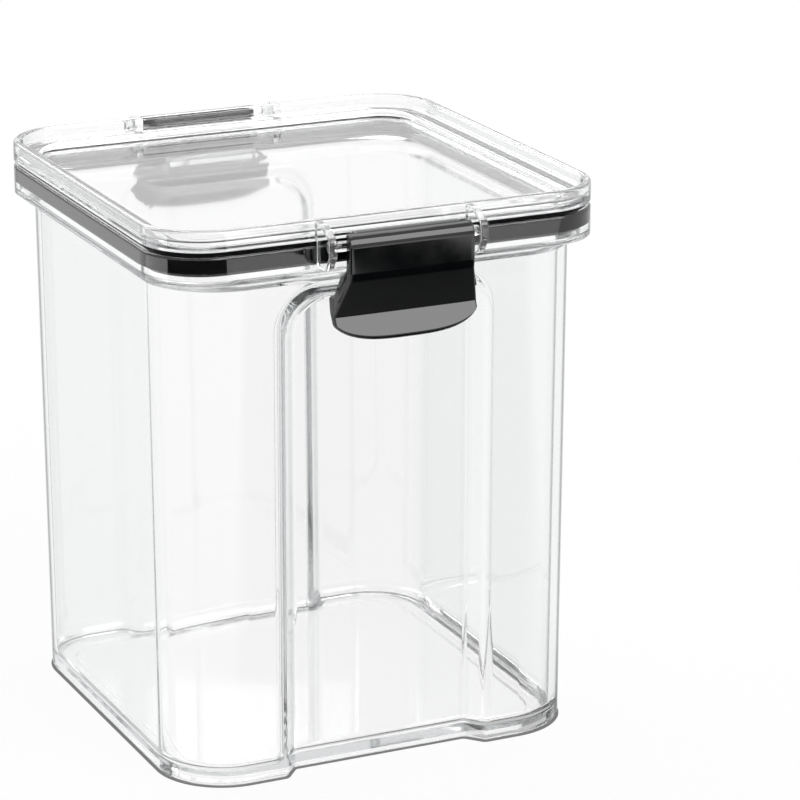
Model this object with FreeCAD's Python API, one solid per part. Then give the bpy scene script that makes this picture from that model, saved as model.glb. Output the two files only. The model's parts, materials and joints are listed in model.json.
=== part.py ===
import FreeCAD, Part
import math
import os

# Airtight storage container: a clear square jar and lid, a silicone gasket and two latch levers.
# Millimetres, +Z up, origin at the middle of the base, front at -Y.

# Shares of a whole
half_share = 0.5

# Jar: body, collar and floor
jar_width = 110.0
jar_height = 127.2
collar_height = 6.9
collar_wall = 2.3
collar_corner = 14.8
body_wall = 2.2
body_corner = 16.6
neck_inset = 3.2
base_inset = 4.05
flare_height = 2.8
flare_land = 0.4
shoulder_rise = 3.6
floor_thickness = 3.0
floor_bevel = 1.8
base_round = 1.2
base_pocket_depth = 0.9
base_pocket_inset = 7.0
base_pocket_corner = 11.0

# Jar: arched recess panel, the same in the front and rear walls
recess_margin = 9.05
recess_drop = 5.1
recess_depth = 4.2
recess_side_run = 3.6
recess_top_run = 1.8
recess_corner = 9.0
recess_round = 1.5

# Jar: catch under each latch
catch_side_gap = 1.8
catch_reach = 1.6
catch_drop = 3.5
catch_nose = 1.4
catch_lap = 0.7

# Lid: rim, stacking ledge, floor and plug
rim_height = 4.9
rim_wall = 2.0
rim_bevel = 0.5
ledge_thickness = 1.9
plug_wall = 1.8
plug_gap = 0.6
tray_depth = 1.9
tray_thickness = 1.8

# Gasket
gasket_flange = 1.0
gasket_flange_inset = 0.9
gasket_clearance = 0.2
gasket_wall = 2.1
gasket_tail = 0.3
gasket_bevel = 0.7

# Hinge: lugs on the lid, with a stub axle on each
pivot_standoff = 6.0
pivot_drop = 4.9
axle_radius = 1.2
axle_clearance = 0.08
axle_engagement = 4.0
lug_side_gap = 2.2
lug_thickness = 2.0
lug_margin = 2.0
lug_tail = 5.6
lug_toe_inset = 0.4
lug_top_drop = 0.4
lug_shoulder = 3.2
lug_round = 1.8
lug_clearance = 0.4

# Latch lever: reaches run out from the axle, drops run down from it
head_radius = 3.1
brow_land = 0.6
barrel_inset = 2.4
face_half = 15.2
face_drop = 6.7
face_bend = 6.0
plate = 2.4
cheek_wall = 1.4
cheek_drop = 4.7
cheek_reach = -2.0
cheek_shoulder_drop = 7.7
hook_gap = 0.3
hook_seat = 0.55
hook_height = 3.55
crease_reach = -0.2
crease_fall = 4.25
hip_spread = 2.3
hip_rise = 1.8
lip_reach = 2.3
lip_length = 5.9
lip_wall = 1.8
lip_shoulder_fall = 1.1
lip_corner_inset = 3.5
lip_corner_rise = 1.7
lip_corner_bulge_share = 0.3

# Cutting and joining
overrun = 5.0
overlap = 0.6
touch = 0.01

# Jar sizes that follow from those above
collar_half = jar_width * half_share
collar_bottom = jar_height - collar_height
neck_half = collar_half - neck_inset
base_half = collar_half - base_inset
neck_corner = body_corner + neck_half - base_half
flare_bottom = collar_bottom - flare_height
flare_half = collar_half - flare_land
shoulder_top = collar_bottom + body_wall * half_share
recess_half = base_half - body_corner - recess_margin
recess_top = collar_bottom - recess_drop
catch_bottom = collar_bottom - catch_drop
catch_half = face_half - cheek_wall - catch_side_gap
draft = math.degrees(math.atan((neck_half - base_half) / flare_bottom))

# Lid and gasket sizes that follow
lid_bottom = jar_height + gasket_flange
rim_top = lid_bottom + rim_height
ledge_top = lid_bottom + ledge_thickness
tray_top = ledge_top - tray_depth
tray_bottom = tray_top - tray_thickness
skirt_inset = collar_wall + gasket_clearance
plug_inset = skirt_inset + gasket_wall
plug_bottom = shoulder_top + plug_gap
plug_half = collar_half - plug_inset
plug_corner = collar_corner - plug_inset

# Hinge and lever sizes that follow
pivot_y = -collar_half - pivot_standoff
pivot_z = rim_top - pivot_drop
lug_gap_half = face_half + lug_side_gap
face_reach = head_radius + brow_land
head_half = face_half - barrel_inset
hip_half = face_half + hip_spread
hook_reach = catch_reach + hook_gap - pivot_standoff
hook_drop = pivot_z - catch_bottom + hook_seat
hook_back_drop = hook_drop + hook_height
crease_drop = hook_drop + crease_fall
hip_drop = crease_drop - hip_rise
lip_drop = crease_drop + lip_length
lip_shoulder_drop = crease_drop + lip_shoulder_fall
lip_corner_drop = lip_drop - lip_corner_rise
lip_corner_half = hip_half - lip_corner_inset

half_turn = 180
signs = (1, -1)


def point(x, y, z):
    return FreeCAD.Vector(x, y, z)


x_axis = point(1, 0, 0)
z_axis = point(0, 0, 1)
centre = point(0, 0, 0)


def line(start, end):
    return Part.LineSegment(start, end).toShape()


def arc(start, middle, end):
    return Part.Arc(start, middle, end).toShape()


def rounded_outline(half, corner, z):
    """Closed wire of a square with round corners, centred on the Z axis."""
    flat = half - corner
    lean = corner * math.sqrt(half_share)
    corners = []
    for sx, sy in ((1, 1), (-1, 1), (-1, -1), (1, -1)):
        side = point(sx * half, sy * flat, z)
        middle = point(sx * (flat + lean), sy * (flat + lean), z)
        end = point(sx * flat, sy * half, z)
        corners.append((side, middle, end) if sx == sy else (end, middle, side))
    edges = []
    for index, (start, middle, end) in enumerate(corners):
        edges.append(arc(start, middle, end))
        edges.append(line(end, corners[(index + 1) % len(corners)][0]))
    return Part.Wire(edges)


def slab(half, corner, bottom, top):
    """Upright square block with round corners."""
    face = Part.Face(rounded_outline(half, corner, bottom))
    return face.extrude(point(0, 0, top - bottom))


def tapered(low_half, low_corner, bottom, high_half, high_corner, top):
    """Square block with round corners that changes size on the way up."""
    low = rounded_outline(low_half, low_corner, bottom)
    high = rounded_outline(high_half, high_corner, top)
    return Part.makeLoft([low, high], True, True)


def prism(points, half_length):
    """Solid of a profile in the YZ plane, drawn out along X to both sides."""
    face = Part.Face(Part.makePolygon(points + points[:1]))
    face.translate(point(-half_length, 0, 0))
    return face.extrude(point(half_length + half_length, 0, 0))


def edges_where(shape, test):
    return [edge for edge in shape.Edges if test(edge.BoundBox)]


def level(box, z):
    return abs(box.ZMin - z) < touch and abs(box.ZMax - z) < touch


def turned_to_rear(shape):
    copy = shape.copy()
    copy.rotate(centre, z_axis, half_turn)
    return copy


def arch_outline(half, top, corner, y):
    """Closed wire of an upright panel with round top corners, running out below the base."""
    lean = corner * math.sqrt(half_share)
    flat = half - corner
    spring = top - corner
    low = -overrun
    left = (point(-half, y, spring), point(-flat - lean, y, spring + lean), point(-flat, y, top))
    right = (point(flat, y, top), point(flat + lean, y, spring + lean), point(half, y, spring))
    edges = [
        line(point(-half, y, low), left[0]),
        arc(*left),
        line(left[2], right[0]),
        arc(*right),
        line(right[2], point(half, y, low)),
        line(point(half, y, low), point(-half, y, low)),
    ]
    return Part.Wire(edges)


def recess_form(growth):
    """Front recess as a solid; growth thickens it by a wall for the inside of the jar."""
    side_slope = recess_side_run / recess_depth
    top_slope = recess_top_run / recess_depth
    side_growth = growth * math.hypot(1, side_slope)
    top_growth = growth * math.hypot(1, top_slope)
    outlines = []
    for depth in (-overrun, recess_depth + growth):
        half = recess_half + side_growth - side_slope * depth
        top = recess_top + top_growth - top_slope * depth
        outlines.append(arch_outline(half, top, recess_corner, -base_half + depth))
    form = Part.makeLoft(outlines, True, True)
    form.rotate(point(0, -base_half, 0), x_axis, draft)
    return form


def jar_outside():
    body = tapered(base_half, body_corner, 0, neck_half, neck_corner, flare_bottom)
    flare_corner = neck_corner + flare_half - neck_half
    flare = tapered(neck_half, neck_corner, flare_bottom, flare_half, flare_corner, collar_bottom)
    collar = slab(collar_half, collar_corner, collar_bottom, jar_height)
    outside = body.fuse([flare, collar]).removeSplitter()
    front = recess_form(0)
    outside = outside.cut(front).cut(turned_to_rear(front))
    return outside.makeFillet(recess_round, edges_where(outside, on_recess_rim))


def on_recess_rim(box):
    """True for the edges of a recess at the wall's face and at its floor, above the base."""
    inside = max(box.XMax, -box.XMin) < recess_half + touch
    above = box.ZMax > touch and box.ZMax < recess_top + touch
    upright = box.YLength < half_share * (box.XLength + box.ZLength)
    return inside and above and upright


def jar_inside():
    shoulder_bottom = shoulder_top - shoulder_rise
    low_corner = body_corner - body_wall
    high_corner = neck_corner - body_wall
    mouth_half = collar_half - collar_wall
    mouth_corner = collar_corner - collar_wall
    low_half = base_half - body_wall
    high_half = neck_half - body_wall
    bevel_top = floor_thickness + floor_bevel
    foot_half = low_half - floor_bevel
    foot_corner = low_corner - floor_bevel
    foot = tapered(foot_half, foot_corner, floor_thickness, low_half, low_corner, bevel_top)
    well = tapered(low_half, low_corner, bevel_top, high_half, high_corner, shoulder_bottom)
    shoulder = tapered(high_half, high_corner, shoulder_bottom, mouth_half, mouth_corner, shoulder_top)
    mouth = slab(mouth_half, mouth_corner, shoulder_top, jar_height + overrun)
    front = recess_form(body_wall)
    well = well.fuse(foot).cut(front).cut(turned_to_rear(front))
    return well.fuse([shoulder, mouth]).removeSplitter()


def catch():
    """Ramped catch below the collar, in the middle of the front wall."""
    root = -neck_half + body_wall * half_share
    nose = -collar_half - catch_reach
    nose_top = catch_bottom + catch_nose
    ramp_top = collar_bottom + catch_lap
    profile = [
        point(0, root, catch_bottom),
        point(0, nose, catch_bottom),
        point(0, nose, nose_top),
        point(0, -collar_half, ramp_top),
        point(0, -collar_half + overlap, ramp_top),
        point(0, root, collar_bottom),
    ]
    return prism(profile, catch_half)


def jar():
    solid = jar_outside()
    bottom_edges = edges_where(solid, lambda box: level(box, 0))
    solid = solid.makeFillet(base_round, bottom_edges)
    pocket_half = base_half - base_pocket_inset
    pocket = slab(pocket_half, base_pocket_corner, -overrun, base_pocket_depth)
    solid = solid.cut(jar_inside()).cut(pocket)
    return solid.fuse([catch(), turned_to_rear(catch())]).removeSplitter()


def lug():
    """Hinge lug outside the front of the lid, on the +X side, with its stub axle."""
    front = pivot_y - lug_margin
    back = -collar_half - lug_clearance
    foot = pivot_z - lug_tail
    profile = [
        point(0, -collar_half + overlap, rim_top - lug_top_drop),
        point(0, -collar_half - lug_shoulder, rim_top - lug_top_drop),
        point(0, front, pivot_z + lug_margin),
        point(0, front, pivot_z - lug_margin),
        point(0, pivot_y + lug_toe_inset, foot),
        point(0, back, foot),
        point(0, back, lid_bottom),
        point(0, -collar_half + overlap, lid_bottom),
    ]
    half_thickness = lug_thickness * half_share
    ear = prism(profile, half_thickness)
    across = edges_where(ear, lambda box: box.XLength > half_thickness and box.YMax < back + touch)
    toes = [edge for edge in across if edge.BoundBox.ZMax < lid_bottom - touch]
    brows = [edge for edge in across if edge.BoundBox.ZMin > lid_bottom + touch]
    ear = ear.makeFillet(lug_round, toes + brows)
    ear.translate(point(lug_gap_half + half_thickness, 0, 0))
    axle_end = head_half - axle_engagement
    axle = Part.makeCylinder(
        axle_radius, lug_gap_half + overlap - axle_end, point(axle_end, pivot_y, pivot_z), x_axis
    )
    return ear.fuse(axle)


def lid():
    rim = slab(collar_half, collar_corner, lid_bottom, rim_top)
    plug = slab(plug_half, plug_corner, plug_bottom, ledge_top)
    rim_pocket = slab(collar_half - rim_wall, collar_corner - rim_wall, ledge_top, rim_top + overrun)
    solid = rim.cut(rim_pocket).fuse(plug).removeSplitter()
    solid = solid.makeChamfer(rim_bevel, edges_where(solid, lambda box: level(box, rim_top)))
    tray_half = plug_half - plug_wall
    tray_corner = plug_corner - plug_wall
    tray = slab(tray_half, tray_corner, tray_top, rim_top)
    hollow = slab(tray_half, tray_corner, plug_bottom - overrun, tray_bottom)
    solid = solid.cut(tray).cut(hollow)
    right = lug()
    left = right.mirror(centre, x_axis)
    lugs = [right, left, turned_to_rear(right), turned_to_rear(left)]
    return solid.fuse(lugs).removeSplitter()


def gasket():
    """Ring with an L section: the flange lies on the collar and the skirt hangs inside it."""
    flange = slab(
        collar_half - gasket_flange_inset, collar_corner - gasket_flange_inset, jar_height, lid_bottom
    )
    skirt_half = collar_half - skirt_inset
    skirt_corner = collar_corner - skirt_inset
    skirt_bottom = plug_bottom + gasket_tail
    bevel_top = skirt_bottom + gasket_bevel
    tip_half = skirt_half - gasket_bevel
    tip = tapered(tip_half, skirt_corner - gasket_bevel, skirt_bottom, skirt_half, skirt_corner, bevel_top)
    skirt = slab(skirt_half, skirt_corner, bevel_top, jar_height)
    bore = slab(plug_half, plug_corner, plug_bottom - overrun, lid_bottom + overrun)
    return flange.fuse([skirt, tip]).cut(bore).removeSplitter()


def lever_point(reach, drop):
    return point(0, pivot_y - reach, pivot_z - drop)


def lever_plate():
    """Side view of the lever, drawn out over its widest width."""
    profile = [
        lever_point(0, -head_radius),
        lever_point(face_reach, -head_radius),
        lever_point(face_reach, face_drop),
        lever_point(crease_reach, crease_drop),
        lever_point(lip_reach, lip_drop),
        lever_point(lip_reach - lip_wall, lip_drop),
        lever_point(crease_reach - plate, hook_back_drop),
        lever_point(hook_reach, hook_drop),
        lever_point(face_reach_at(hook_drop) - plate, hook_drop),
        lever_point(face_reach - plate, face_drop),
        lever_point(face_reach - plate, head_radius),
        lever_point(0, head_radius),
    ]
    solid = prism(profile, hip_half)
    bend = lever_point(face_reach, face_drop)
    brow = lever_point(face_reach, -head_radius)
    solid = solid.makeFillet(face_bend, edges_where(solid, lambda box: runs_through(box, bend)))
    return solid.makeFillet(head_radius, edges_where(solid, lambda box: runs_through(box, brow)))


def runs_through(box, place):
    """True for an edge along X through a place in the side view."""
    across = math.hypot(box.YMin - place.y, box.ZMin - place.z)
    return box.XLength > box.YLength + box.ZLength and across < touch


def face_reach_at(drop):
    """How far the lever's sloping face stands out at a drop between the bend and the crease."""
    share = (drop - face_drop) / (crease_drop - face_drop)
    return face_reach + (crease_reach - face_reach) * share


def lever_outline(inset):
    """Front view of the lever as a wire, inset from its sides."""
    y = pivot_y
    top = pivot_z + head_radius + overrun
    face = face_half - inset
    hip = hip_half - inset
    corner = lip_corner_half - inset
    corner_bulge = lip_corner_bulge_share * (hip - corner)
    drops = {
        "face": pivot_z - face_drop,
        "hip": pivot_z - hip_drop,
        "shoulder": pivot_z - lip_shoulder_drop,
        "corner": pivot_z - lip_corner_drop,
        "lip": pivot_z - lip_drop,
    }
    edges = [line(point(-face, y, top), point(face, y, top))]
    sides = []
    for sign in signs:
        brow = point(sign * face, y, top)
        waist = point(sign * face, y, drops["face"])
        side = point(sign * hip, y, drops["hip"])
        shoulder = point(sign * hip, y, drops["shoulder"])
        bulge = point(sign * (hip - corner_bulge), y, drops["corner"] + corner_bulge)
        end = point(sign * corner, y, drops["corner"])
        sides.append([line(brow, waist), line(waist, side), line(side, shoulder), arc(shoulder, bulge, end)])
    edges += sides[0]
    edges.append(
        arc(point(corner, y, drops["corner"]), point(0, y, drops["lip"]), point(-corner, y, drops["corner"]))
    )
    edges += sides[1][::-1]
    return Part.Wire(edges)


def lever_window(inset):
    """The front view drawn out along Y, to trim the lever's sides."""
    window = Part.Face(lever_outline(inset))
    depth = head_radius + face_reach + overrun + overrun
    window.translate(point(0, -depth, 0))
    return window.extrude(point(0, depth + depth, 0))


def lever_cheeks():
    """Side walls that stiffen the hook."""
    profile = [
        lever_point(face_reach - plate + overlap, cheek_drop),
        lever_point(cheek_reach, cheek_shoulder_drop),
        lever_point(cheek_reach, hook_drop + overlap),
        lever_point(face_reach_at(hook_drop) - overlap, hook_drop + overlap),
        lever_point(face_reach - overlap, face_drop),
    ]
    band = lever_window(0).cut(lever_window(cheek_wall))
    return prism(profile, hip_half).common(band)


def latch():
    plate_solid = lever_plate().common(lever_window(0))
    barrel = Part.makeCylinder(
        head_radius, head_half + head_half, point(-head_half, pivot_y, pivot_z), x_axis
    )
    slot_depth = face_reach - plate
    slots = []
    for start in (head_half, -hip_half - overrun):
        corner = point(start, pivot_y - slot_depth, pivot_z - head_radius - overrun)
        slots.append(
            Part.makeBox(
                hip_half + overrun - head_half,
                slot_depth + overrun,
                head_radius + head_radius + overrun + overrun,
                corner,
            )
        )
    solid = plate_solid.cut(slots).fuse([barrel, lever_cheeks()])
    bore = Part.makeCylinder(
        axle_radius + axle_clearance,
        hip_half + hip_half,
        point(-hip_half, pivot_y, pivot_z),
        x_axis,
    )
    return solid.cut(bore).removeSplitter()


os.makedirs("parts", exist_ok=True)
front_latch = latch()
nodes = {
    "jar": jar(),
    "lid": lid(),
    "gasket": gasket(),
    "front_latch": front_latch,
    "rear_latch": turned_to_rear(front_latch),
}
for name, shape in nodes.items():
    shape.exportStep("parts/" + name + ".step")
    print(name, len(shape.Solids), shape.isValid(), round(shape.Volume, 1), shape.BoundBox)
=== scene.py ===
import json
import math

import bmesh
import bpy
from mathutils import Matrix, Vector


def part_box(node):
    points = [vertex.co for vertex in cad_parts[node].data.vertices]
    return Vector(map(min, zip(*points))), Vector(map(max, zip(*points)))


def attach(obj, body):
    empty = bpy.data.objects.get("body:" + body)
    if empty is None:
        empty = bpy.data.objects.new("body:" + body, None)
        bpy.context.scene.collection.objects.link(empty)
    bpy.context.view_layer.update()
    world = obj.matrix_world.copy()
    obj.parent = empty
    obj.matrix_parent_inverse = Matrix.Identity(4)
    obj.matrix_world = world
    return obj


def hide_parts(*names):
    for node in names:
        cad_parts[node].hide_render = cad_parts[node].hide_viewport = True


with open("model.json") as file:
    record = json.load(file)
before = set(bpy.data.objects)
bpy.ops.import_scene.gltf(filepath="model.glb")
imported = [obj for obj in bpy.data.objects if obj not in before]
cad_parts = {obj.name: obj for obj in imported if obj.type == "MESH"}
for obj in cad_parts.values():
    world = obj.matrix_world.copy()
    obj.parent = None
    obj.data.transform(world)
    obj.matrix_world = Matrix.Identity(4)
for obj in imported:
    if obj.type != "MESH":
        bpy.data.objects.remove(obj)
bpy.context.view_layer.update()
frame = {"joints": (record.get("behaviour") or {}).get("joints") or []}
mm = 0.001

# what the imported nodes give: the heights and half widths that every piece below is built on
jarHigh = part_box("jar")[1]
lidLow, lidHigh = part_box("lid")
gasketLow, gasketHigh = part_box("gasket")
pivot = next(Vector(j["pos_m"]) for j in frame["joints"] if j["name"] == "front_latch_swing")


def toLinear(hexColour):
    parts = [int(hexColour[i:i + 2], 16) / 255 for i in (1, 3, 5)]
    return [p / 12.92 if p <= 0.04045 else ((p + 0.055) / 1.055) ** 2.4 for p in parts] + [1.0]


def addNode(tree, kind, settings, links):
    # settings go to a socket of that name or number, or else to the node itself
    node = tree.nodes.new(kind)
    for name, value in settings.items():
        if isinstance(name, int) or name in node.inputs:
            node.inputs[name].default_value = value
        else:
            setattr(node, name, value)
    for name, socket in links.items():
        tree.links.new(socket, node.inputs[name])
    return node


rangeEnds = ("From Min", "From Max", "To Min", "To Max")
noiseSpread = (0.35, 0.65)  # where most of a noise pattern's values lie
grainDetail = 4.0


def emptyMaterial(name):
    material = bpy.data.materials.new(name)
    material.use_nodes = True
    material.node_tree.nodes.clear()
    return material, material.node_tree


# clear styrene, injection moulded in a polished tool: glassy faces, with painted shade: grey lines where a
# wall is seen edge on
styreneLook = {
    # painted shade: the colour turns grey where an upright wall turns away from the eye, by how far it turns
    "paintedEdgeShade": ((0.35, "#FDFDFD"), (0.58, "#EEF1F1"), (0.7, "#EBEEEE"), (0.79, "#2C3134")),
    "levelShift": -0.4,  # level faces stay clear
    "evenBlend": 0.5,  # plain measure of how far a face turns away
    "ior": 1.57,
    "roughness": (0.012, 0.03),
    "smudge": 22 * mm,  # size of the faint patches that handling leaves
    "smudgeDetail": 3.0,
    "flow": 16 * mm,  # width of the slow waves that the melt leaves in a moulded wall
    "flowDetail": 1.0,
    "flowHeight": 0.004 * mm,
    "depthColour": "#8F979A",
    "depthDensity": 4.5,
}


def clearStyrene(name, look):
    material, tree = emptyMaterial(name)
    # painted edge shade: the base colour is greyed by how far each face turns from the eye, level faces
    # excepted
    away = addNode(tree, "ShaderNodeLayerWeight", {"Blend": look["evenBlend"]}, {})
    face = addNode(tree, "ShaderNodeNewGeometry", {}, {})
    slope = addNode(tree, "ShaderNodeSeparateXYZ", {}, {"Vector": face.outputs["Normal"]})
    level = addNode(tree, "ShaderNodeMath", {"operation": "ABSOLUTE"}, {0: slope.outputs["Z"]})
    turned = addNode(
        tree, "ShaderNodeMath", {"operation": "MULTIPLY_ADD", 1: look["levelShift"]},
        {0: level.outputs["Value"], 2: away.outputs["Facing"]})
    edgeShadeRamp = addNode(tree, "ShaderNodeValToRGB", {}, {"Fac": turned.outputs["Value"]})
    for turn, _ in look["paintedEdgeShade"][1:-1]:
        edgeShadeRamp.color_ramp.elements.new(turn)
    for stop, (turn, shade) in zip(edgeShadeRamp.color_ramp.elements, look["paintedEdgeShade"]):
        stop.position, stop.color = turn, toLinear(shade)
    place = addNode(tree, "ShaderNodeTexCoord", {}, {})
    smudge = addNode(
        tree, "ShaderNodeTexNoise", {"Scale": 1 / look["smudge"], "Detail": look["smudgeDetail"]},
        {"Vector": place.outputs["Object"]})
    polish = addNode(
        tree, "ShaderNodeMapRange", dict(zip(rangeEnds, noiseSpread + look["roughness"])),
        {"Value": smudge.outputs["Fac"]})
    flow = addNode(
        tree, "ShaderNodeTexNoise", {"Scale": 1 / look["flow"], "Detail": look["flowDetail"]},
        {"Vector": place.outputs["Object"]})
    wave = addNode(
        tree, "ShaderNodeBump", {"Strength": 1.0, "Distance": look["flowHeight"]},
        {"Height": flow.outputs["Fac"]})
    surface = addNode(
        tree, "ShaderNodeBsdfPrincipled",
        {"IOR": look["ior"], "Transmission Weight": 1.0},
        {
            "Base Color": edgeShadeRamp.outputs["Color"],
            "Roughness": polish.outputs["Result"],
            "Normal": wave.outputs["Normal"],
        })
    depth = addNode(
        tree, "ShaderNodeVolumeAbsorption",
        {"Color": toLinear(look["depthColour"]), "Density": look["depthDensity"]}, {})
    addNode(
        tree, "ShaderNodeOutputMaterial", {},
        {"Surface": surface.outputs["BSDF"], "Volume": depth.outputs["Volume"]})
    return material


# black silicone rubber, compression moulded: soft sheen, very fine dusty grain
siliconeLook = {
    "colours": ("#070708", "#101112"),
    "ior": 1.43,
    "specular": 0.06,  # pressed against the clear wall, it mirrors little
    "roughness": (0.16, 0.26),
    "grain": 0.9 * mm,
    "grainHeight": 0.01 * mm,
}

# black ABS, injection moulded in a polished tool: deep black, clean highlights, a few faint handling marks
absLook = {
    "colours": ("#050607", "#0B0D0E"),
    "ior": 1.53,
    "specular": 0.5,
    "roughness": (0.05, 0.1),
    "grain": 7.0 * mm,
    "grainHeight": 0.003 * mm,
}


def blackPolymer(name, look):
    material, tree = emptyMaterial(name)
    place = addNode(tree, "ShaderNodeTexCoord", {}, {})
    grain = addNode(
        tree, "ShaderNodeTexNoise", {"Scale": 1 / look["grain"], "Detail": grainDetail},
        {"Vector": place.outputs["Object"]})
    colour = addNode(tree, "ShaderNodeValToRGB", {}, {"Fac": grain.outputs["Fac"]})
    for stop, shade in zip(colour.color_ramp.elements, look["colours"]):
        stop.color = toLinear(shade)
    polish = addNode(
        tree, "ShaderNodeMapRange", dict(zip(rangeEnds, noiseSpread + look["roughness"])),
        {"Value": grain.outputs["Fac"]})
    relief = addNode(
        tree, "ShaderNodeBump", {"Strength": 1.0, "Distance": look["grainHeight"]},
        {"Height": grain.outputs["Fac"]})
    surface = addNode(
        tree, "ShaderNodeBsdfPrincipled", {"IOR": look["ior"], "Specular IOR Level": look["specular"]},
        {
            "Base Color": colour.outputs["Color"],
            "Roughness": polish.outputs["Result"],
            "Normal": relief.outputs["Normal"],
        })
    addNode(tree, "ShaderNodeOutputMaterial", {}, {"Surface": surface.outputs["BSDF"]})
    return material


jarStyrene = clearStyrene("clearStyreneJar", styreneLook)
lidStyrene = clearStyrene("clearStyreneLid", styreneLook)
gasketSilicone = blackPolymer("blackSilicone", siliconeLook)
latchAbs = blackPolymer("blackAbs", absLook)
print("materials made")

cornerSteps = 20  # faces round each upright corner
archSteps = 14  # faces round each top corner of a recess panel
arcSteps = 5  # faces round each small edge
circleSteps = 48  # faces round an axle or a barrel
plateSteps = 16  # places along each half of a lever's width
weldGap = 0.002 * mm
sharpTurn = math.radians(40)  # edges that turn more than this stay crisp


def softened(stops, steps=arcSteps):
    # a line through the stops, whose corners become arcs of each stop's radius
    path = [stops[0][0]]
    for (before, _), (here, radius), (after, _) in zip(stops, stops[1:], stops[2:]):
        back, ahead = (before - here).normalized(), (after - here).normalized()
        halfTurn = (math.pi - back.angle(ahead)) / 2
        start, end = (here + way * radius * math.tan(halfTurn) for way in (back, ahead))
        for step in range(steps + 1 if radius else 1):
            t = step / steps
            a, b, c = (1 - t) ** 2, 2 * t * (1 - t) * math.cos(halfTurn), t ** 2
            path.append((start * a + here * b + end * c) / (a + b + c))
    return path + [stops[-1][0]]


def softenedLoop(stops):
    return softened(stops[-1:] + stops + stops[:1])[1:-1]


def shrunk(loop, distance):
    # a closed flat outline, counter-clockwise, moved inwards
    moved = []
    for before, here, after in zip(loop[-1:] + loop[:-1], loop, loop[1:] + loop[:1]):
        first, second = (here - before).normalized(), (after - here).normalized()
        inward = Vector((-first.y - second.y, first.x + second.x))
        moved.append(here + inward * (distance / (1 + first.dot(second))))
    return moved


def newSkin():
    return {"points": [], "places": {}, "faces": []}


def addFace(skin, corners):
    ids = []
    for corner in corners:
        key = tuple(round(c / weldGap) for c in corner)
        if key not in skin["places"]:
            skin["places"][key] = len(skin["points"])
            skin["points"].append(corner)
        ids.append(skin["places"][key])
    ids = [a for a, b in zip(ids, ids[1:] + ids[:1]) if a != b]
    if len(ids) > 2:
        skin["faces"].append(ids)


def addStrip(skin, low, high, closed=True):
    pairs = list(zip(low, high))
    for (a, b), (c, d) in zip(pairs, pairs[1:] + pairs[:1] if closed else pairs[1:]):
        addFace(skin, (a, c, d, b))


def ringAt(half, z, flat, stations=()):
    # round-cornered square, counter-clockwise; stations are extra places (x, depth) along front and rear
    loop = []
    for quarter in range(4):
        turn = Matrix.Rotation(quarter * math.pi / 2, 2)
        if quarter % 2 == 0:
            loop += [turn @ Vector((x, depth - half)) for x, depth in stations]
        for step in range(cornerSteps + 1):
            a = step / cornerSteps * math.pi / 2
            radius = half - flat
            loop.append(turn @ Vector((flat + radius * math.sin(a), -flat - radius * math.cos(a))))
    return [p.to_3d() + Vector((0, 0, z)) for p in loop]


def barStops(start, end, edge, middle=()):
    # places along a bar, and how far its outline is drawn in there to round both ends
    near = []
    for step in range(arcSteps):
        a = step / arcSteps * math.pi / 2
        near.append((edge * (1 - math.cos(a)), edge * (1 - math.sin(a))))
    stops = [(start + run, inset) for run, inset in near] + [(start + edge, 0)]
    stops += [(x, 0) for x in middle]
    return stops + [(end - edge, 0)] + [(end - run, inset) for run, inset in near[::-1]]


def addBar(skin, outline, stops, place):
    # outline is flat and closed, drawn out along X; place puts (x, outline point) in the frame
    area = sum(a.cross(b) for a, b in zip(outline, outline[1:] + outline[:1]))
    outline = outline if area > 0 else outline[::-1]
    loops = [[place(x, p) for p in shrunk(outline, inset)] for x, inset in stops]
    for low, high in zip(loops, loops[1:]):
        addStrip(skin, low, high)
    addFace(skin, loops[0])
    addFace(skin, loops[-1])


def upright(x, p):
    return Vector((x, p.x, p.y))


def circle(middle, radius):
    turns = [2 * math.pi * step / circleSteps for step in range(circleSteps)]
    return [middle + radius * Vector((math.cos(a), math.sin(a))) for a in turns]


def makePiece(name, skin):
    shell = bmesh.new()
    vertices = [shell.verts.new(p) for p in skin["points"]]
    for ids in skin["faces"]:
        shell.faces.new([vertices[i] for i in ids])
    bmesh.ops.recalc_face_normals(shell, faces=shell.faces)
    loose = [e for e in shell.edges if not e.is_manifold]
    mesh = bpy.data.meshes.new(name)
    shell.to_mesh(mesh)
    shell.free()
    piece = bpy.data.objects.new(name, mesh)
    bpy.context.scene.collection.objects.link(piece)
    print(name, "faces", len(mesh.polygons), "open edges", len(loose))
    return piece


def combine(piece, others, operation):
    for other in others:
        step = piece.modifiers.new(other.name, "BOOLEAN")
        step.operation, step.solver, step.object = operation, "EXACT", other
    shown = piece.evaluated_get(bpy.context.evaluated_depsgraph_get())
    made = bpy.data.meshes.new_from_object(shown)
    shell = bmesh.new()
    shell.from_mesh(made)
    bmesh.ops.remove_doubles(shell, verts=shell.verts, dist=weldGap)
    bmesh.ops.dissolve_degenerate(shell, edges=shell.edges, dist=weldGap)
    bmesh.ops.holes_fill(shell, edges=[e for e in shell.edges if e.is_boundary])
    shell.to_mesh(made)
    shell.free()
    piece.modifiers.clear()
    piece.data = made
    for other in others:
        bpy.data.objects.remove(other)


def dress(piece, node, body, material):
    # smooth faces, crisp only at sharp turns, with large flat faces kept flat
    piece.data.materials.clear()
    piece.data.materials.append(material)
    piece.data.shade_smooth()
    piece.data.set_sharp_from_angle(angle=sharpTurn)
    even = piece.modifiers.new("evenShade", "WEIGHTED_NORMAL")
    even.keep_sharp = True
    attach(piece, body)
    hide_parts(node)


def toRear(points):
    return [Vector((-p.x, -p.y, p.z)) for p in points]


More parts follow.
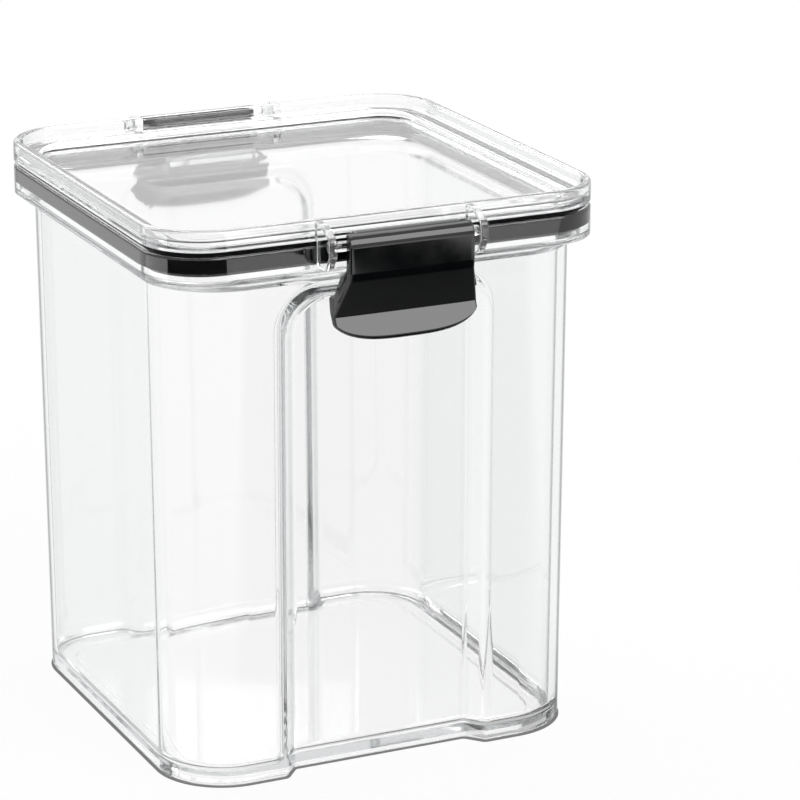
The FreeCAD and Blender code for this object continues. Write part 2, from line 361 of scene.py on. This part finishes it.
jarShape = {
    "collarFlat": 40.2 * mm,  # straight half side between the round corners of collar, lid and gasket
    "bodyFlat": 34.35 * mm,
    "collarBottom": 120.3 * mm,
    "collarWall": 2.3 * mm,
    "collarLowFlat": 0.5 * mm,
    "collarLowEdge": 0.35 * mm,
    "collarLip": 0.7 * mm,
    "mouthEdge": 0.5 * mm,
    "baseHalf": 50.95 * mm,
    "neckHalf": 51.8 * mm,
    "neckHeight": 117.5 * mm,
    "cove": 2.5 * mm,  # soft hollow between body and collar
    "wall": 2.2 * mm,
    "shoulderTop": 121.4 * mm,
    "shoulderBottom": 117.8 * mm,
    "shoulderEdges": (0.8 * mm, 0.5 * mm),
    "innerTop": 117.55 * mm,
    "floor": 2.6 * mm,
    "floorRound": 3.0 * mm,
    "baseRound": 1.2 * mm,
    "pocketHalf": 43.95 * mm,
    "pocketCorner": 11.0 * mm,
    "pocketDepth": 0.9 * mm,
}
panelShape = {
    # arched recess in front and rear: half width, top, at the wall's face and at the panel's floor
    "outer": {
        "mouth": (25.3 * mm, 115.2 * mm),
        "floor": (21.7 * mm, 113.4 * mm),
        "rounds": (1.5 * mm, 1.5 * mm),
    },
    "inner": {
        "mouth": (26.3 * mm, 116.5 * mm),
        "floor": (22.7 * mm, 114.7 * mm),
        "rounds": (3.1 * mm, 1.5 * mm),
    },
    "depth": 4.2 * mm,
    "corner": 9.0 * mm,
    "topRound": 1.1 * mm,  # the inner edge is tighter over the arch, under the shoulder
}
catchShape = {
    "half": 12.0 * mm,
    "bottom": 116.8 * mm,
    "noseTop": 118.2 * mm,
    "rampTop": 121.0 * mm,
    "reach": 1.6 * mm,
    "root": 50.7 * mm,
    "bite": 0.6 * mm,
    "edge": 0.3 * mm,
}


def archLine(half, top, foot):
    # up the left side, over the arch and down the right side, with the way out of the panel at each place
    corner = panelShape["corner"]
    line = [(Vector((-half, foot)), Vector((-1, 0)))]
    for side, start in ((-1, math.pi), (1, math.pi / 2)):
        middle = Vector((side * (half - corner), top - corner))
        for step in range(archSteps + 1):
            turn = start - step / archSteps * math.pi / 2
            out = Vector((math.cos(turn), math.sin(turn)))
            line.append((middle + out * corner, out))
    return line + [(Vector((half, foot)), Vector((1, 0)))]


def panelBand(panel, foot, topRound):
    # the rounded step from the wall's face to the panel's floor, as (x, z, depth) at each place of the arch
    rows = []
    mouthLine, floorLine = (archLine(*panel[part], foot) for part in ("mouth", "floor"))
    for (rim, out), (low, _) in zip(mouthLine, floorLine):
        here, there = rim.to_3d(), Vector((low.x, low.y, panelShape["depth"]))
        aside = out.to_3d() * panelShape["corner"]
        rimRound = panel["rounds"][0] + (topRound - panel["rounds"][0]) * out.y
        stops = [(here + aside, 0), (here, rimRound), (there, panel["rounds"][1]), (there - aside, 0)]
        rows.append(softened(stops)[1:-1])
    return rows


def addBody(skin, baseHalf, rows, foot, top):
    # the four walls with round corners from foot to top, with a panel in front and rear
    flat = jarShape["bodyFlat"]
    taper = (jarShape["neckHalf"] - jarShape["baseHalf"]) / jarShape["neckHeight"]
    low, high = (ringAt(baseHalf + z * taper, z, flat) for z in (foot, top))
    for index in range(len(low)):
        after = (index + 1) % len(low)
        quarter, step = divmod(index, cornerSteps + 1)
        if step < cornerSteps or quarter % 2 == 0:
            addFace(skin, (low[index], low[after], high[after], high[index]))
    corners = [Vector((x, z, 0)) for x, z in ((flat, foot), (flat, top), (-flat, top), (-flat, foot))]
    for turned in (list, toRear):
        placed = []
        for row in rows + [corners]:
            placed.append(turned([Vector((p.x, p.z - baseHalf - p.y * taper, p.y)) for p in row]))
        frameCorners = placed.pop()
        for one, other in zip(placed, placed[1:]):
            addStrip(skin, one, other, closed=False)
        addFace(skin, [row[-1] for row in placed])
        addFace(skin, [row[0] for row in placed] + frameCorners)
    stations = [(p.x, p.z) for p in rows[0] + rows[-1][::-1]]
    return ringAt(baseHalf + foot * taper, foot, flat, stations), stations


def addFoot(skin, loop, radius):
    # rounds the walls into the level floor below them and returns the last loop
    level = loop[0].z
    outline = [p.xy for p in loop]
    for step in range(1, arcSteps + 1):
        a = step / arcSteps * math.pi / 2
        z = level - radius * math.sin(a)
        lower = [p.to_3d() + Vector((0, 0, z)) for p in shrunk(outline, radius * (1 - math.cos(a)))]
        addStrip(skin, loop, lower)
        loop = lower
    return loop


def addRings(skin, rings):
    loops = [ringAt(*ring) for ring in rings]
    for low, high in zip(loops, loops[1:]):
        addStrip(skin, low, high)
    return loops


def jarCollar(skin):
    shape = jarShape
    half, flat = jarHigh.x, shape["collarFlat"]
    coveFoot = shape["collarBottom"] - shape["cove"]
    rings = [(shape["neckHalf"], shape["neckHeight"], shape["bodyFlat"])]
    for step in range(arcSteps + 1):
        a = step / arcSteps * math.pi / 2
        reach = shape["cove"] * (1 - math.cos(a))
        rings.append((shape["neckHalf"] + reach, coveFoot + shape["cove"] * math.sin(a), shape["bodyFlat"]))
    outside = softened([
        (Vector((half - shape["collarLowFlat"], shape["collarBottom"])), 0),
        (Vector((half, shape["collarBottom"])), shape["collarLowEdge"]),
        (Vector((half, jarHigh.z)), shape["collarLip"]),
        (Vector((half - shape["collarWall"] / 2, jarHigh.z)), 0),
    ])[:-1]
    rings += [(p.x, p.y, flat) for p in outside]
    innerHalf = shape["neckHalf"] - shape["wall"]
    mouthHalf = half - shape["collarWall"]
    inside = softened([
        (Vector((half - shape["collarWall"] / 2, jarHigh.z)), 0),
        (Vector((mouthHalf, jarHigh.z)), shape["mouthEdge"]),
        (Vector((mouthHalf, shape["shoulderTop"])), shape["shoulderEdges"][0]),
        (Vector((innerHalf, shape["shoulderBottom"])), shape["shoulderEdges"][1]),
        (Vector((innerHalf, shape["innerTop"])), 0),
    ])[1:]
    for p in inside:
        share = (p.y - shape["shoulderBottom"]) / (shape["shoulderTop"] - shape["shoulderBottom"])
        share = min(max(share, 0), 1)
        rings.append((p.x, p.y, shape["bodyFlat"] + (flat - shape["bodyFlat"]) * share))
    taper = (shape["neckHalf"] - shape["baseHalf"]) / shape["neckHeight"]
    lastHalf = shape["baseHalf"] - shape["wall"] + shape["innerTop"] * taper
    rings[-1] = (lastHalf, shape["innerTop"], shape["bodyFlat"])
    addRings(skin, rings)


def jarCatch(turned):
    shape, half = catchShape, jarHigh.x
    outline = softenedLoop([
        (Vector((-shape["root"], shape["bottom"])), 0),
        (Vector((-half - shape["reach"], shape["bottom"])), shape["edge"]),
        (Vector((-half - shape["reach"], shape["noseTop"])), shape["edge"]),
        (Vector((-half, shape["rampTop"])), shape["edge"]),
        (Vector((-half + shape["bite"], shape["rampTop"])), 0),
        (Vector((-shape["root"], jarShape["collarBottom"])), 0),
    ])
    skin = newSkin()
    addBar(skin, outline, barStops(-shape["half"], shape["half"], shape["edge"]), upright)
    skin["points"] = turned(skin["points"])
    return makePiece("catch", skin)


def buildJar():
    shape, skin = jarShape, newSkin()
    outerRows = panelBand(panelShape["outer"], shape["baseRound"], panelShape["outer"]["rounds"][0])
    foot, stations = addBody(skin, shape["baseHalf"], outerRows, shape["baseRound"], shape["neckHeight"])
    sole = addFoot(skin, foot, shape["baseRound"])
    pocketFlat = shape["pocketHalf"] - shape["pocketCorner"]
    pocketStations = [(x * pocketFlat / shape["bodyFlat"], 0) for x, _ in stations]
    pocketRim = ringAt(shape["pocketHalf"], 0, pocketFlat, pocketStations)
    pocketRoof = ringAt(shape["pocketHalf"], shape["pocketDepth"], pocketFlat, pocketStations)
    addStrip(skin, sole, pocketRim)
    addStrip(skin, pocketRim, pocketRoof)
    addFace(skin, pocketRoof)
    jarCollar(skin)
    innerFoot = shape["floor"] + shape["floorRound"]
    innerRows = panelBand(panelShape["inner"], innerFoot, panelShape["topRound"])
    foot, _ = addBody(skin, shape["baseHalf"] - shape["wall"], innerRows, innerFoot, shape["innerTop"])
    addFace(skin, addFoot(skin, foot, shape["floorRound"]))
    jar = makePiece("jarBody", skin)
    combine(jar, [jarCatch(list), jarCatch(toRear)], "UNION")
    dress(jar, "jar", "jar", jarStyrene)
    return [p.xy for p in sole]


lidShape = {
    "rimWall": 2.0 * mm,
    "ledgeTop": 130.1 * mm,
    "plugHalf": 50.4 * mm,
    "trayHalf": 48.6 * mm,
    "trayTop": 128.2 * mm,
    "trayBottom": 126.4 * mm,
    "trayCentre": 44.0 * mm,
    "edges": {"rim": 0.8 * mm, "under": 0.35 * mm, "ledge": 0.7 * mm, "tray": 0.9 * mm, "plug": 0.5 * mm},
}
lugShape = {
    "inner": 17.4 * mm,
    "thickness": 2.0 * mm,
    "bite": 0.6 * mm,
    "topDrop": 0.4 * mm,
    "shoulder": 3.2 * mm,
    "margin": 2.0 * mm,
    "tail": 5.6 * mm,
    "toeInset": 0.4 * mm,
    "clearance": 0.4 * mm,
    "round": 1.8 * mm,
    "edge": 0.35 * mm,
    "axleRadius": 1.2 * mm,
    "axleEnd": 8.8 * mm,
}


def lidLug(side, turned):
    shape, half = lugShape, jarHigh.x
    front, back = pivot.y - shape["margin"], -half - shape["clearance"]
    foot, top = pivot.z - shape["tail"], lidHigh.z - shape["topDrop"]
    outline = softenedLoop([
        (Vector((-half + shape["bite"], top)), 0),
        (Vector((-half - shape["shoulder"], top)), shape["round"]),
        (Vector((front, pivot.z + shape["margin"])), shape["round"]),
        (Vector((front, pivot.z - shape["margin"])), shape["round"]),
        (Vector((pivot.y + shape["toeInset"], foot)), shape["round"]),
        (Vector((back, foot)), shape["round"]),
        (Vector((back, gasketHigh.z)), 0),
        (Vector((-half + shape["bite"], gasketHigh.z)), 0),
    ])
    outer = shape["inner"] + shape["thickness"]
    ear, axle = newSkin(), newSkin()
    addBar(ear, outline, barStops(shape["inner"], outer, shape["edge"]), upright)
    middle = Vector((pivot.y, pivot.z))
    axleStops = barStops(shape["axleEnd"], outer - shape["edge"], shape["edge"])
    addBar(axle, circle(middle, shape["axleRadius"]), axleStops, upright)
    made = []
    for name, skin in (("lugEar", ear), ("lugAxle", axle)):
        skin["points"] = turned([Vector((side * p.x, p.y, p.z)) for p in skin["points"]])
        made.append(makePiece(name, skin))
    return made


def buildLid():
    shape, edges, half = lidShape, lidShape["edges"], jarHigh.x
    rimHalf = half - shape["rimWall"]
    section = softened([
        (Vector((shape["trayCentre"], shape["trayBottom"])), 0),
        (Vector((shape["trayHalf"], shape["trayBottom"])), edges["tray"]),
        (Vector((shape["trayHalf"], lidLow.z)), edges["plug"]),
        (Vector((shape["plugHalf"], lidLow.z)), edges["plug"]),
        (Vector((shape["plugHalf"], gasketHigh.z)), edges["under"]),
        (Vector((half, gasketHigh.z)), edges["under"]),
        (Vector((half, lidHigh.z)), edges["rim"]),
        (Vector((rimHalf, lidHigh.z)), edges["rim"]),
        (Vector((rimHalf, shape["ledgeTop"])), edges["ledge"]),
        (Vector((shape["trayHalf"], shape["ledgeTop"])), edges["ledge"]),
        (Vector((shape["trayHalf"], shape["trayTop"])), edges["tray"]),
        (Vector((shape["trayCentre"], shape["trayTop"])), 0),
    ])
    skin = newSkin()
    loops = addRings(skin, [(p.x, p.y, jarShape["collarFlat"]) for p in section])
    addFace(skin, loops[0])
    addFace(skin, loops[-1])
    lid = makePiece("lidBody", skin)
    lugs = [part for side in (1, -1) for turned in (list, toRear) for part in lidLug(side, turned)]
    combine(lid, lugs, "UNION")
    dress(lid, "lid", "lid", lidStyrene)


gasketShape = {
    "boreHalf": 50.45 * mm,
    "tipHalf": 52.0 * mm,
    "skirtHalf": 52.73 * mm,  # pressed against the collar, so that it shows dark right through the clear wall
    "tipRise": 0.8 * mm,
    "flangeHalf": 54.1 * mm,
    "lift": 0.03 * mm,
    "edge": 0.3 * mm,
}


def buildGasket():
    shape = gasketShape
    low, under, top = gasketLow.z, jarHigh.z + shape["lift"], gasketHigh.z - shape["lift"]
    section = softenedLoop([
        (Vector((shape["boreHalf"], low)), shape["edge"]),
        (Vector((shape["tipHalf"], low)), shape["edge"]),
        (Vector((shape["skirtHalf"], low + shape["tipRise"])), shape["edge"]),
        (Vector((shape["skirtHalf"], under)), shape["edge"]),
        (Vector((shape["flangeHalf"], under)), shape["edge"]),
        (Vector((shape["flangeHalf"], top)), shape["edge"]),
        (Vector((shape["boreHalf"], top)), shape["edge"]),
    ])
    skin = newSkin()
    rings = [(p.x, p.y, jarShape["collarFlat"]) for p in section]
    addRings(skin, rings + rings[:1])
    dress(makePiece("gasketRing", skin), "gasket", "lid", gasketSilicone)


latchShape = {
    # reaches run out from the axle, drops run down from it
    "headRadius": 3.1 * mm,
    "browShift": 0.6 * mm,
    "headHalf": 12.8 * mm,
    "boreRadius": 1.28 * mm,
    "earReach": 1.35 * mm,
    "faceReach": 3.7 * mm,
    "faceDrop": 6.7 * mm,
    "faceBend": 6.0 * mm,
    "plate": 2.4 * mm,
    "crease": (-0.2 * mm, 16.2 * mm),
    "creaseRound": 0.35 * mm,
    "lipTip": (2.3 * mm, 22.1 * mm),
    "lipWall": 1.8 * mm,
    "lipEdge": 0.75 * mm,
    "hookBack": (-2.6 * mm, 15.5 * mm),
    "hookTip": (-4.1 * mm, 11.95 * mm),
    "hookRoot": (-0.86 * mm, 11.95 * mm),
    "hookEdge": 0.6 * mm,
    "faceHalf": 15.2 * mm,
    "hipHalf": 17.5 * mm,
    "hipDrop": 14.4 * mm,
    "lipShoulder": 17.3 * mm,
    "lipPowers": (3.2, 0.625),
    "sideEdge": 0.5 * mm,
    # outline of the side wall that stiffens the hook
    "cheek": (
        (1.9 * mm, 4.7 * mm), (-2.0 * mm, 7.7 * mm), (-2.0 * mm, 12.6 * mm), (0.9 * mm, 12.6 * mm),
        (3.0 * mm, 6.7 * mm)),
    "cheekWall": 1.4 * mm,
    "cheekInset": 0.08 * mm,
    "cheekEdge": 0.3 * mm,
}


def latchPlace(x, p):
    # the lever flares to its hips, and its lip is shorter towards both ends
    shape = latchShape
    spread = min(max((p.y - shape["faceDrop"]) / (shape["hipDrop"] - shape["faceDrop"]), 0), 1)
    spread = spread * spread * (3 - 2 * spread)
    width = shape["faceHalf"] + (shape["hipHalf"] - shape["faceHalf"]) * spread
    crease, tip = Vector(shape["crease"]), Vector(shape["lipTip"])
    along = (tip - crease).normalized()
    past = (p - crease).dot(along)
    if past > 0:
        rise, root = shape["lipPowers"]
        share = (1 - min(abs(x) / shape["hipHalf"], 1) ** rise) ** root
        drop = shape["lipShoulder"] + (tip.y - shape["lipShoulder"]) * share
        p = p + along * past * ((drop - crease.y) / (tip.y - crease.y) - 1)
    return Vector((x * width / shape["hipHalf"], pivot.y - p.x, pivot.z - p.y))


def latchPlate():
    shape = latchShape
    brow = []
    firstTurn = math.asin((shape["earReach"] - shape["browShift"]) / shape["headRadius"])
    for step in range(archSteps):
        a = firstTurn + (math.pi / 2 - firstTurn) * step / archSteps
        out, up = shape["headRadius"] * math.sin(a), shape["headRadius"] * math.cos(a)
        brow.append(Vector((shape["browShift"] + out, -up)))
    crease, tip, hookBack, hookTip, hookRoot = (
        Vector(shape[part]) for part in ("crease", "lipTip", "hookBack", "hookTip", "hookRoot"))
    back = shape["faceReach"] - shape["plate"]
    rest = softened([
        (Vector((shape["faceReach"], 0)), 0),
        (Vector((shape["faceReach"], shape["faceDrop"])), shape["faceBend"]),
        (crease, shape["creaseRound"]),
        (tip, shape["lipEdge"]),
        (tip - Vector((shape["lipWall"], 0)), shape["lipEdge"]),
        (hookBack, shape["lipEdge"]),
        (hookTip, shape["hookEdge"]),
        (hookRoot, shape["hookEdge"]),
        (Vector((back, shape["faceDrop"])), shape["lipEdge"]),
        (Vector((back, brow[0].y + shape["sideEdge"])), 0),
    ])
    half = shape["hipHalf"]
    spots = [half * math.sin(math.pi / 2 * s / plateSteps) for s in range(1 - plateSteps, plateSteps)]
    middle = [x for x in spots if abs(x) < half - 2 * shape["sideEdge"]]
    skin = newSkin()
    addBar(skin, brow + rest, barStops(-half, half, shape["sideEdge"], middle), latchPlace)
    return makePiece("latchPlate", skin)


def latchHead():
    shape = latchShape
    radius, shift = shape["headRadius"], shape["browShift"]
    outline = circle(Vector((0, 0)), radius)
    outline = [p + Vector((shift, 0)) if p.x > 0 else p for p in outline]
    skin = newSkin()
    stops = barStops(-shape["headHalf"], shape["headHalf"], shape["sideEdge"])
    addBar(skin, outline, stops, lambda x, p: Vector((x, pivot.y - p.x, pivot.z - p.y)))
    return makePiece("latchHead", skin)


def latchCheek(side):
    shape = latchShape
    outline = softenedLoop([(Vector(corner), shape["hookEdge"]) for corner in shape["cheek"]])
    outer = shape["hipHalf"] - shape["cheekInset"]
    skin = newSkin()
    addBar(skin, outline, barStops(outer - shape["cheekWall"], outer, shape["cheekEdge"]), latchPlace)
    skin["points"] = [Vector((side * p.x, p.y, p.z)) for p in skin["points"]]
    return makePiece("latchCheek", skin)


def buildLatch(name, node, turned):
    shape = latchShape
    latch = latchPlate()
    combine(latch, [latchHead(), latchCheek(1), latchCheek(-1)], "UNION")
    bore = newSkin()
    ends = [(-shape["hipHalf"], 0), (shape["hipHalf"], 0)]
    addBar(bore, circle(Vector((pivot.y, pivot.z)), shape["boreRadius"]), ends, upright)
    combine(latch, [makePiece("latchBore", bore)], "DIFFERENCE")
    latch.name = name
    for vertex, place in zip(latch.data.vertices, turned([v.co for v in latch.data.vertices])):
        vertex.co = place
    dress(latch, node, node, latchAbs)


standLine = buildJar()
buildLid()
buildGasket()
buildLatch("frontLatch", "front_latch", list)
buildLatch("rearLatch", "rear_latch", toRear)
print("pieces built")

# studio: pale floor, white surroundings for the eye and for what is seen through the clear walls
studio = {
    "white": "#FFFFFF",
    "floorRadius": 1.6,
    "floorSides": 64,
    "floorColour": "#F4F4F4",
    "shadowShare": 0.06,  # how much of the floor's white near the object is real light, which it can shade
    "shadowReach": (0.15, 0.45),  # from where to where that share fades out
    "edgeDim": 0.55,  # light that bounced inside a clear wall comes out weaker, as in a thick plastic edge
    "ambient": 0.8,
    "ambientColour": "#808080",
    # cards on the floor that only gloss sees, beyond what the jar's walls mirror: two corners and brightness
    "cards": {
        "whiteStrip": ((0.129, -1.2), (0.165, -0.452), 2.0),
        "blackStrip": ((0.166, -1.2), (0.22, -0.4), 0.0),
        "whiteRight": ((0.221, -1.2), (0.9, -0.452), 2.0),
        "whiteLeft": ((-0.9, 0.28), (-0.2115, 0.8), 1.4),
    },
    # fans round the near corner of the collar: radii, azimuths and brightness
    "fanMiddle": (-0.051, -0.051),
    "fans": {
        "blackFan": ((0.405, 1.2), (-83, 23), 0.0),
        "brightFan": ((0.43, 1.0), (-140, -84), 2.4),
    },
    # soft black spot that the latch mirrors: middle, half length, half width, turn
    "spot": ((0.115, -0.27), 0.32, 0.13, -67),
    "spotFade": 0.6,  # share of its reach over which it fades
    "contact": (0.1 * mm, 1.5 * mm),  # painted contact shadow: dark strip where the base meets the floor, out from the standing edge
    "contactShade": 0.2,
    "heights": {
        "floor": -0.1 * mm,
        "contact": 0.02 * mm,
        "fan": 0.1 * mm,
        "spot": 0.15 * mm,
        "card": 0.2 * mm,
    },
    "wallCrossings": 64,  # a line of sight crosses many clear walls
}


def whiteForTheEye(tree):
    # 1 for rays that see the background, mirrored too, and less once they bounced inside a clear wall
    path = addNode(tree, "ShaderNodeLightPath", {}, {})
    bounced = addNode(
        tree, "ShaderNodeMath", {"operation": "MINIMUM", 1: 1.0}, {0: path.outputs["Glossy Depth"]})
    through = addNode(
        tree, "ShaderNodeMath", {"operation": "MULTIPLY_ADD", 1: -studio["edgeDim"], 2: 1.0},
        {0: bounced.outputs["Value"]})
    clear = addNode(
        tree, "ShaderNodeMath", {"operation": "MULTIPLY"},
        {0: path.outputs["Is Transmission Ray"], 1: through.outputs["Value"]})
    seen = addNode(
        tree, "ShaderNodeMath", {"operation": "MAXIMUM"},
        {0: path.outputs["Is Camera Ray"], 1: clear.outputs["Value"]})
    return addNode(
        tree, "ShaderNodeMath", {"operation": "MAXIMUM"},
        {0: path.outputs["Is Glossy Ray"], 1: seen.outputs["Value"]})


def setWorld():
    world = bpy.data.worlds.new("studioWorld")
    bpy.context.scene.world = world
    world.use_nodes = True
    tree = world.node_tree
    tree.nodes.clear()
    white = whiteForTheEye(tree)
    plain = addNode(
        tree, "ShaderNodeBackground",
        {"Color": toLinear(studio["ambientColour"]), "Strength": studio["ambient"]}, {})
    bright = addNode(tree, "ShaderNodeBackground", {"Color": toLinear(studio["white"]), "Strength": 1.0}, {})
    either = addNode(
        tree, "ShaderNodeMixShader", {},
        {"Fac": white.outputs["Value"], 1: plain.outputs["Background"], 2: bright.outputs["Background"]})
    addNode(tree, "ShaderNodeOutputWorld", {}, {"Surface": either.outputs["Shader"]})


def floorPaper():
    # matt white paper sweep: plain, with the object's soft shadow
    material, tree = emptyMaterial("paperFloor")
    white = whiteForTheEye(tree)
    near, far = studio["shadowReach"]
    place = addNode(tree, "ShaderNodeTexCoord", {}, {})
    nearness = addNode(
        tree, "ShaderNodeTexGradient", {"gradient_type": "SPHERICAL"}, {"Vector": place.outputs["Object"]})
    plain = addNode(
        tree, "ShaderNodeMapRange",
        {"From Min": 1 - far, "From Max": 1 - near, "To Min": 1.0, "To Max": 1 - studio["shadowShare"]},
        {"Value": nearness.outputs["Fac"]})
    share = addNode(
        tree, "ShaderNodeMath", {"operation": "MULTIPLY"},
        {0: white.outputs["Value"], 1: plain.outputs["Result"]})
    paper = addNode(tree, "ShaderNodeBsdfDiffuse", {"Color": toLinear(studio["floorColour"])}, {})
    glow = addNode(tree, "ShaderNodeEmission", {"Color": toLinear(studio["white"]), "Strength": 1.0}, {})
    either = addNode(
        tree, "ShaderNodeMixShader", {},
        {"Fac": share.outputs["Value"], 1: paper.outputs["BSDF"], 2: glow.outputs["Emission"]})
    addNode(tree, "ShaderNodeOutputMaterial", {}, {"Surface": either.outputs["Shader"]})
    return material


def layFloor():
    outline = bmesh.new()
    bmesh.ops.create_circle(
        outline, cap_ends=True, segments=studio["floorSides"], radius=studio["floorRadius"])
    mesh = bpy.data.meshes.new("floor")
    outline.to_mesh(mesh)
    outline.free()
    floor = bpy.data.objects.new("floor", mesh)
    floor.location.z = studio["heights"]["floor"]
    mesh.materials.append(floorPaper())
    bpy.context.scene.collection.objects.link(floor)


def layFlat(name, points, faces, height, material):
    mesh = bpy.data.meshes.new(name)
    mesh.from_pydata([(p[0], p[1], 0) for p in points], [], faces)
    mesh.materials.append(material)
    sheet = bpy.data.objects.new(name, mesh)
    sheet.location.z = studio["heights"][height]
    sheet.visible_diffuse = sheet.visible_shadow = False
    bpy.context.scene.collection.objects.link(sheet)
    return sheet


def evenCard(name, brightness):
    material, tree = emptyMaterial(name)
    glow = addNode(
        tree, "ShaderNodeEmission", {"Color": toLinear(studio["white"]), "Strength": brightness}, {})
    addNode(tree, "ShaderNodeOutputMaterial", {}, {"Surface": glow.outputs["Emission"]})
    return material


def softSpot(name):
    # black in the middle and clear at the rim
    material, tree = emptyMaterial(name)
    place = addNode(tree, "ShaderNodeTexCoord", {}, {})
    fade = addNode(
        tree, "ShaderNodeTexGradient", {"gradient_type": "SPHERICAL"}, {"Vector": place.outputs["Object"]})
    share = addNode(
        tree, "ShaderNodeMapRange", {"From Max": studio["spotFade"]}, {"Value": fade.outputs["Fac"]})
    clear = addNode(tree, "ShaderNodeBsdfTransparent", {}, {})
    black = addNode(tree, "ShaderNodeEmission", {"Strength": 0.0}, {})
    either = addNode(
        tree, "ShaderNodeMixShader", {},
        {"Fac": share.outputs["Result"], 1: clear.outputs["BSDF"], 2: black.outputs["Emission"]})
    addNode(tree, "ShaderNodeOutputMaterial", {}, {"Surface": either.outputs["Shader"]})
    return material


def direction(azimuth, elevation):
    # from the object outwards; azimuth 0 is the front, and it grows towards the right
    a, e = math.radians(azimuth), math.radians(elevation)
    return Vector((math.sin(a) * math.cos(e), -math.cos(a) * math.cos(e), math.sin(e)))


def layCards():
    sheets = []
    for name, ((left, near), (right, far), brightness) in studio["cards"].items():
        corners = [(left, near), (right, near), (right, far), (left, far)]
        sheets.append(layFlat(name, corners, [(0, 1, 2, 3)], "card", evenCard(name, brightness)))
    faces = [(i, i + 1, i + archSteps + 2, i + archSteps + 1) for i in range(archSteps)]
    for name, (radii, (first, last), brightness) in studio["fans"].items():
        ways = [direction(first + (last - first) * step / archSteps, 0).xy for step in range(archSteps + 1)]
        points = [Vector(studio["fanMiddle"]) + way * radius for radius in radii for way in ways]
        sheets.append(layFlat(name, points, faces, "fan", evenCard(name, brightness)))
    middle, length, width, turn = studio["spot"]
    unitSquare = [(-1, -1), (1, -1), (1, 1), (-1, 1)]
    spot = layFlat("blackSpot", unitSquare, [(0, 1, 2, 3)], "spot", softSpot("blackSpot"))
    spot.location.xy = middle
    spot.scale = (length, width, 1)
    spot.rotation_euler.z = math.radians(turn)
    for sheet in sheets + [spot]:
        sheet.visible_camera = sheet.visible_transmission = False


# painted contact shadow: a dark strip laid on the floor round the standing edge of the base
def layContactShadow(outline):
    inner, outer = (shrunk(outline, -way) for way in studio["contact"])
    count = len(outline)
    faces = [(i, (i + 1) % count, (i + 1) % count + count, i + count) for i in range(count)]
    layFlat("paintedContactShadow", inner + outer, faces, "contact", evenCard("paintedContactShadow", studio["contactShade"]))


lamps = {
    # azimuth, elevation, distance, width, height, radiance
    "frontSoftbox": (25, 38, 1.2, 0.9, 0.7, 4.8),
    "rearSoftbox": (205, 38, 1.2, 0.9, 0.7, 3.2),
    "topSoftbox": (150, 72, 1.3, 0.9, 0.9, 2.4),
}


def hangLamp(name, azimuth, elevation, distance, width, height, radiance):
    lamp = bpy.data.lights.new(name, "AREA")
    lamp.shape = "RECTANGLE"
    lamp.size, lamp.size_y = width, height
    lamp.energy = radiance * math.pi * width * height
    holder = bpy.data.objects.new(name, lamp)
    middle = Vector((0, 0, jarHigh.z / 2))
    holder.location = middle + direction(azimuth, elevation) * distance
    holder.rotation_mode = "QUATERNION"
    holder.rotation_quaternion = (middle - holder.location).to_track_quat("-Z", "Y")
    bpy.context.scene.collection.objects.link(holder)


cameraView = {
    "azimuth": -25.013,
    "elevation": 17.516,
    "target": (15.023 * mm, -25.496 * mm, 78.718 * mm),
    "distance": 855.65 * mm,
    "lens": 164.2,  # in mm
}


def placeCamera():
    camera = bpy.data.objects.new("camera", bpy.data.cameras.new("camera"))
    back = direction(cameraView["azimuth"], cameraView["elevation"])
    camera.location = Vector(cameraView["target"]) + back * cameraView["distance"]
    camera.rotation_mode = "QUATERNION"
    camera.rotation_quaternion = (-back).to_track_quat("-Z", "Y")
    camera.data.lens = cameraView["lens"]
    bpy.context.scene.collection.objects.link(camera)
    bpy.context.scene.camera = camera


setWorld()
layFloor()
layCards()
layContactShadow(standLine)
for lampName, lampPlace in lamps.items():
    hangLamp(lampName, *lampPlace)
placeCamera()
bpy.context.scene.view_settings.view_transform = "Standard"
bounces = bpy.context.scene.cycles
bounces.max_bounces = bounces.transmission_bounces = bounces.glossy_bounces = studio["wallCrossings"]
print("studio and camera placed")
